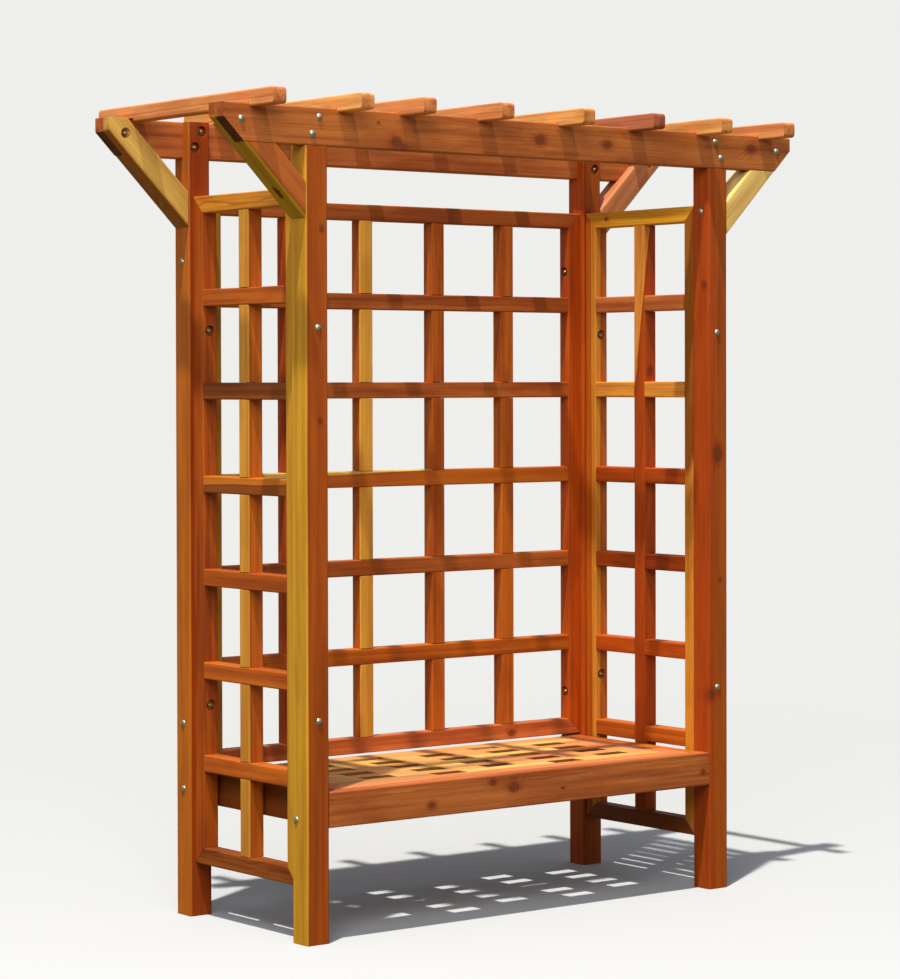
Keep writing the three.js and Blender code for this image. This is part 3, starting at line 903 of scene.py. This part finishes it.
def turned(name, profile, start, axis, radius_at=None):
    """A closed surface: a profile of (distance along the axis, radius) carried round the axis.

    A point is start + axis * d + r * f(t) * (u cos t + v sin t), with f(t) = 1 for a round piece.
    The ends are closed by fans at the first and last profile points, which have radius 0.
    """
    profile = np.array(profile, float)
    u = AXES[Z] if abs(axis[Z]) < SLOPE else AXES[X]
    v = np.cross(axis, u)
    angle = np.arange(STEPS) * 2 * math.pi / STEPS
    factor = np.ones(STEPS) if radius_at is None else radius_at(angle)
    ring = np.outer(np.cos(angle) * factor, u) + np.outer(np.sin(angle) * factor, v)
    middle = profile[1:-1]
    rows = middle[:, 0, None, None] * axis + middle[:, 1, None, None] * ring
    tips = profile[[0, -1], 0, None] * axis
    points = np.concatenate([rows.reshape(-1, 3), tips]) + np.array(start)
    turn = np.arange(STEPS)
    after = (turn + 1) % STEPS
    levels = np.arange(len(middle) - 1)[:, None] * STEPS
    here, beside = levels + turn, levels + after
    quads = np.stack([here, beside, beside + STEPS, here + STEPS], axis=-1)
    first = np.full(STEPS, len(middle) * STEPS)
    base = (len(middle) - 1) * STEPS
    fans = [[first, after, turn], [first + 1, base + turn, base + after]]
    faces = quads.reshape(-1, 4).tolist()
    for fan in fans:
        faces += np.column_stack(fan).tolist()
    mesh = bpy.data.meshes.new(name)
    mesh.from_pydata(points.tolist(), [], faces)
    mesh.polygons.foreach_set("use_smooth", np.ones(len(mesh.polygons), bool))
    mesh.set_sharp_from_angle(angle=CREASE)
    return add_object(name, mesh)


def bolt_profile(grip):
    """Dome, shank and threaded end: distances run from the head's seat, and the dome lies before 0."""
    ball = (HEAD_RADIUS**2 + HEAD_HEIGHT**2) / (2 * HEAD_HEIGHT)
    angles = np.linspace(0, math.asin(HEAD_RADIUS / ball), DOME_STEPS)
    dome = [(ball - HEAD_HEIGHT - ball * math.cos(a), ball * math.sin(a)) for a in angles]
    end = grip + WASHER_HEIGHT + NUT_HEIGHT + BOLT_PROUD
    thread_start = end - THREAD_TURNS * THREAD_PITCH - TIP_LENGTH
    threads = []
    for turn in range(THREAD_TURNS):
        d = thread_start + turn * THREAD_PITCH
        threads += [(d, SHANK_RADIUS), (d + THREAD_PITCH / 2, SHANK_RADIUS - THREAD_DEPTH)]
    shoulder, tip = (SHANK_RADIUS - taper for taper in TIP_TAPERS)
    tail = [(end - TIP_LENGTH, shoulder), (end, tip), (end, 0.0)]
    return dome + [(0.0, SHANK_RADIUS), *threads, *tail]


def hexagon(angle):
    """Radius factor of a hexagon with the circle of radius 1 inside it."""
    sector = math.pi / 3
    return 1 / np.cos((angle + sector / 2) % sector - sector / 2)


def nut_profile():
    """A chamfered nut, from its seat outwards, with the threaded end of the bolt through it."""
    flat = NUT_FLATS / 2
    shoulder = NUT_HEIGHT - NUT_CHAMFER
    outside = [(0.0, 0.0), (0.0, flat - NUT_CHAMFER), (NUT_CHAMFER, flat), (shoulder, flat)]
    mouth = [(NUT_HEIGHT, flat - NUT_CHAMFER), (NUT_HEIGHT, SHANK_RADIUS + MOUTH_GAP)]
    return [*outside, *mouth, (shoulder, SHANK_RADIUS + THREAD_GAP), (shoulder, 0.0)]


def washer_profile():
    """A flat disc with a broken rim."""
    face = WASHER_RADIUS - WASHER_RIM
    rim = [(WASHER_RIM, WASHER_RADIUS), (WASHER_HEIGHT - WASHER_RIM, WASHER_RADIUS)]
    return [(0.0, 0.0), (0.0, face), *rim, (WASHER_HEIGHT, face), (WASHER_HEIGHT, 0.0)]


# %% [markdown]
# ## Metal finishes
#
# The heads are dull galvanised steel, mottled by weather. The nuts carry a warm yellow plating, which
# catches the light in the dark counterbores.

# %% Two metals
SPOT_SCALE, WEAR_SCALE = 900.0, 180.0
SPOT_ROUGHNESS, WEAR_ROUGHNESS, METAL_ROUGHNESS = 0.12, 0.25, 0.34


def plated_metal(name, light, dark):
    """Metal with two mottled shades and a little grime in its roughness."""
    graph = Graph(bpy.data.materials.new(name))
    place = graph.place()
    spots = graph.noise(place, SPOT_SCALE, 3.0, 0.6)
    wear = graph.noise(place, WEAR_SCALE, 2.0)
    shade = graph.mix(graph.ramp(spots, 0.35, 0.65), colour(dark), colour(light))
    rough = METAL_ROUGHNESS + (wear - 0.5) * WEAR_ROUGHNESS + (spots - 0.5) * SPOT_ROUGHNESS
    normal = graph.bump(spots, 0.15, 0.0002)
    return graph.surface(Base_Color=shade, Metallic=0.8, Roughness=rough, Normal=normal)


bolt_steel = plated_metal("bolt_steel", "B4B8B0", "6E746A")
nut_plating = plated_metal("nut_plating", "B8843E", "70481A")
print("metals", bolt_steel.name, nut_plating.name)

# %% [markdown]
# ## Where the bolts go
#
# Each post takes two bolts through the beam, one at each end of its brace, two through the side panel
# and one for the seat. The back posts hold the back panel with two more. Where the photograph shows no
# nut, the fastener is a lag screw without one.

# %% Put in every bolt
BEAM_BOLT_SHARES = [(0.63, 0.255), (0.32, 0.704)]  # of the post's width and of the beam's height
NOSE_INSET, NOSE_DROP = 0.058, 0.045  # from the beam's end and from its top
BRACE_RISE, BRACE_GRIP = 0.070, 0.046  # above the brace's foot, and the timber under the nut
SIDE_DROP_SHARES = [1.445, 5.47]  # of a row of the lattice, down from the panel's top
BACK_DROP_SHARES = [0.694, 5.68]
SEAT_FRONT_BACK = 0.010  # behind the front apron
SEAT_FRONT_DROP, SEAT_BACK_DROP = 0.077, 0.051  # below the seat
LAG_DEPTH = 0.055  # how far a lag screw reaches into the timber that it holds
stile_inner_y = span("right_panel_front_stile", Y)[1]
side_panel_x = sum(span("right_panel_front_stile", X)) / 2
stile_inner_x = span("back_panel_right_stile", X)[0]
end_apron_inner = span("seat_right_apron", X)[0]
back_apron_end = span("seat_back_apron", X)[1]
beam_grip = post_size - COUNTERBORE
side_panel_grip = post_back - abs(stile_inner_y) - COUNTERBORE
back_panel_grip = post_outer - stile_inner_x - COUNTERBORE
bolts = []


def fasten(name, seat, axis, grip, with_nut=True):
    """A bolt whose head sits at seat and whose shank runs along axis through grip metres of timber."""
    seat, axis = np.array(seat, float), np.array(axis, float)
    dress(turned(name, bolt_profile(grip), seat, axis), bolt_steel)
    bolts.append(name)
    if with_nut:
        at_washer = seat + axis * grip
        at_nut = at_washer + axis * WASHER_HEIGHT
        washer = turned(f"{name}_washer", washer_profile(), at_washer, axis)
        nut = turned(f"{name}_nut", nut_profile(), at_nut, axis, hexagon)
        for piece in (washer, nut):
            dress(piece, nut_plating)


def fasten_corner(label, x_sign, y_sign):
    """All the bolts of one post: the signs say on which side and at which end it stands."""
    outer_x, outer_y = x_sign * post_outer, y_sign * post_back
    across, inwards = (-x_sign, 0, 0), (0, -y_sign, 0)
    for i, (in_share, down_share) in enumerate(BEAM_BOLT_SHARES, 1):
        x = x_sign * (post_outer - in_share * post_size)
        z = beam_top - down_share * beam_height
        fasten(f"{label}_beam_{i}", (x, outer_y, z), inwards, beam_grip)
    nose = (x_sign * (beam_end - NOSE_INSET), outer_y, beam_top - NOSE_DROP)
    fasten(f"{label}_brace_top", nose, inwards, beam_grip)
    foot_y, foot_z = y_sign * post_y, brace_foot + BRACE_RISE
    if y_sign < 0:
        seat = (x_sign * post_inner, foot_y, foot_z)
        fasten(f"{label}_brace_foot", seat, (x_sign, 0, 0), post_size + BRACE_GRIP)
    else:
        seat = (x_sign * (post_outer + BRACE_GRIP), foot_y, foot_z)
        fasten(f"{label}_brace_foot", seat, across, BRACE_GRIP + LAG_DEPTH, with_nut=False)
    for i, share in enumerate(SIDE_DROP_SHARES, 1):
        seat = (x_sign * side_panel_x, outer_y, panel_top - share * row_pitch)
        fasten(f"{label}_side_panel_{i}", seat, inwards, side_panel_grip)
    if y_sign < 0:
        seat = (outer_x, apron_inner + SEAT_FRONT_BACK, seat_top - SEAT_FRONT_DROP)
        fasten(f"{label}_seat", seat, across, post_outer - end_apron_inner)
        return
    for i, share in enumerate(BACK_DROP_SHARES, 1):
        seat = (outer_x, post_y, panel_top - share * row_pitch)
        fasten(f"{label}_back_panel_{i}", seat, across, back_panel_grip)
    seat = (outer_x, post_y, seat_top - SEAT_BACK_DROP)
    fasten(f"{label}_seat", seat, across, post_outer - back_apron_end + LAG_DEPTH, with_nut=False)


for side, x_sign in (("left", -1), ("right", 1)):
    for end, y_sign in (("front", -1), ("back", 1)):
        fasten_corner(f"bolt_{side}_{end}", x_sign, y_sign)
print(len(bolts), "bolts")

# %% [markdown]
# ## The camera
#
# The camera stands at eye height, front left of the arbour, and far enough away that its lines converge
# only a little. Its place and turn were solved from the corners of the timbers in the photograph.

# %% Set up the camera
PICTURE = (900, 979)
FOCAL_PIXELS = 2998.2
AXIS_PIXEL = (468.4, 422.9)
SENSOR = 36.0
EYE = (-5.5939, -7.2499, 1.5814)
TURN, TILT, ROLL = (math.radians(v) for v in (37.854, -0.760, -0.129))


def turned_to(columns, place):
    """The matrix of an object whose own axes are the columns and whose origin is the place."""
    matrix = np.eye(4)
    matrix[:3, :3] = np.column_stack(columns)
    matrix[:3, 3] = place
    return Matrix(matrix.tolist())


forward = np.array([math.sin(TURN) * math.cos(TILT), math.cos(TURN) * math.cos(TILT), math.sin(TILT)])
level = np.array([math.cos(TURN), -math.sin(TURN), 0.0])
upright = np.cross(level, forward)
rightward = level * math.cos(ROLL) + upright * math.sin(ROLL)
upward = upright * math.cos(ROLL) - level * math.sin(ROLL)
camera_data = bpy.data.cameras.new("camera")
camera_data.sensor_width = SENSOR
camera_data.lens = FOCAL_PIXELS / PICTURE[1] * SENSOR
camera_data.shift_x = (PICTURE[0] / 2 - AXIS_PIXEL[0]) / PICTURE[1]
camera_data.shift_y = (AXIS_PIXEL[1] - PICTURE[1] / 2) / PICTURE[1]
camera_data.clip_end = 100.0
camera = add_object("camera", camera_data)
camera.matrix_world = turned_to([rightward, upward, -forward], EYE)
bpy.context.scene.camera = camera
print("lens", round(camera_data.lens, 2), "mm")

# %% [markdown]
# ## The floor
#
# The floor is pale and fades into the same pale tone as the surroundings, so that no horizon shows. The
# light that it throws back up is darker and a little green, as grass would send it.

# %% The floor and its surroundings
PALE_TONE = (0.86, 0.86, 0.84, 1.0)
SKY_TONE = (0.94, 0.96, 1.0, 1.0)
SKY_LEVEL = 0.38
REFLECTED_LEVEL = 0.27
FLOOR_TONE = (0.44, 0.455, 0.475, 1.0)
FLOOR_BOUNCE = (0.15, 0.14, 0.07, 1.0)
FLOOR_HALF = 30.0
FADE_START, FADE_END = 2.6, 8.0


def pale_floor():
    """Diffuse near the object, and for the camera a plain tone further away."""
    graph = Graph(bpy.data.materials.new("pale_floor"))
    far = graph.ramp(graph.vector_sum("LENGTH", graph.place()), FADE_START, FADE_END)
    seen = graph.add("LightPath")[CAMERA_RAY]
    tone = graph.mix(seen, FLOOR_BOUNCE, FLOOR_TONE)
    matt = graph.add("BsdfDiffuse", None, {"Color": tone})[0]
    plain = graph.add("Emission", None, {"Color": PALE_TONE, "Strength": 1.0})[0]
    shader = graph.add("MixShader", None, {0: far * seen, 1: matt, 2: plain})[0]
    graph.add("OutputMaterial", None, {"Surface": shader})
    return graph.owner


floor_mesh = bpy.data.meshes.new("floor")
corners = rectangle((-FLOOR_HALF, -FLOOR_HALF), (FLOOR_HALF, FLOOR_HALF))
floor_mesh.from_pydata([(x, y, 0.0) for x, y in corners], [], [(0, 1, 2, 3)])
floor_mesh.materials.append(pale_floor())
floor = add_object("floor", floor_mesh)


def surroundings():
    """The world: an even sky that lights, a dimmer one in reflections, the pale tone for the camera."""
    graph = Graph(bpy.data.worlds.new("surroundings"))
    rays = graph.add("LightPath")

    def backdrop(tone, strength):
        return graph.add("Background", None, {"Color": tone, "Strength": strength})[0]

    shader = backdrop(SKY_TONE, SKY_LEVEL)
    for ray, tone, strength in (GLOSSY_RAY, SKY_TONE, REFLECTED_LEVEL), (CAMERA_RAY, PALE_TONE, 1.0):
        values = {0: rays[ray], 1: shader, 2: backdrop(tone, strength)}
        shader = graph.add("MixShader", None, values)[0]
    graph.add("OutputWorld", None, {"Surface": shader})
    return graph.owner


bpy.context.scene.world = surroundings()
print("floor", 2 * FLOOR_HALF, "m wide, sky level", SKY_LEVEL)

# %% [markdown]
# ## The lamps
#
# A high sun draws the short shadows of the rafters. A large fill shines from the camera's side, because
# the shaded faces in the photograph are light too. A wide card overhead only adds a soft shine to
# the upper faces.

# %% Set up the lamps
def aim(lamp, direction):
    """Turn a lamp so that it shines along a direction."""
    ahead = np.array(direction, float) / np.linalg.norm(direction)
    side = np.cross(ahead, AXES[Z] if abs(ahead[Z]) < 1 else AXES[Y])
    side /= np.linalg.norm(side)
    lamp.matrix_world = turned_to([side, np.cross(side, ahead), -ahead], lamp.location)


def add_lamp(name, kind, energy, direction, place=(0.0, 0.0, 4.0), **settings):
    """A lamp of a kind, with its strength, where it shines and where it stands."""
    data = bpy.data.lights.new(name, kind)
    data.energy = energy
    for key, value in settings.items():
        setattr(data, key, value)
    made = add_object(name, data)
    made.location = place
    aim(made, direction)
    return made


SUN_WIDTH = math.radians(1.2)
add_lamp("high_sun", "SUN", 5.0, (0.26, 0.16, -1.0), angle=SUN_WIDTH, color=(1.0, 0.95, 0.86))
add_lamp("front_fill", "AREA", 260, (0.60, 0.63, -0.5), (-4.2, -4.4, 4.8), shape="SQUARE", size=3.5)
sky_card = add_lamp("sky_card", "AREA", 300, (0, 0, -1), (0, 0, 6.0), shape="SQUARE", size=9.0)
sky_card.visible_diffuse = False
sky_card.visible_camera = False
bpy.context.scene.view_settings.view_transform = "Standard"
print("lamps:", [lamp.name for lamp in bpy.data.lights])
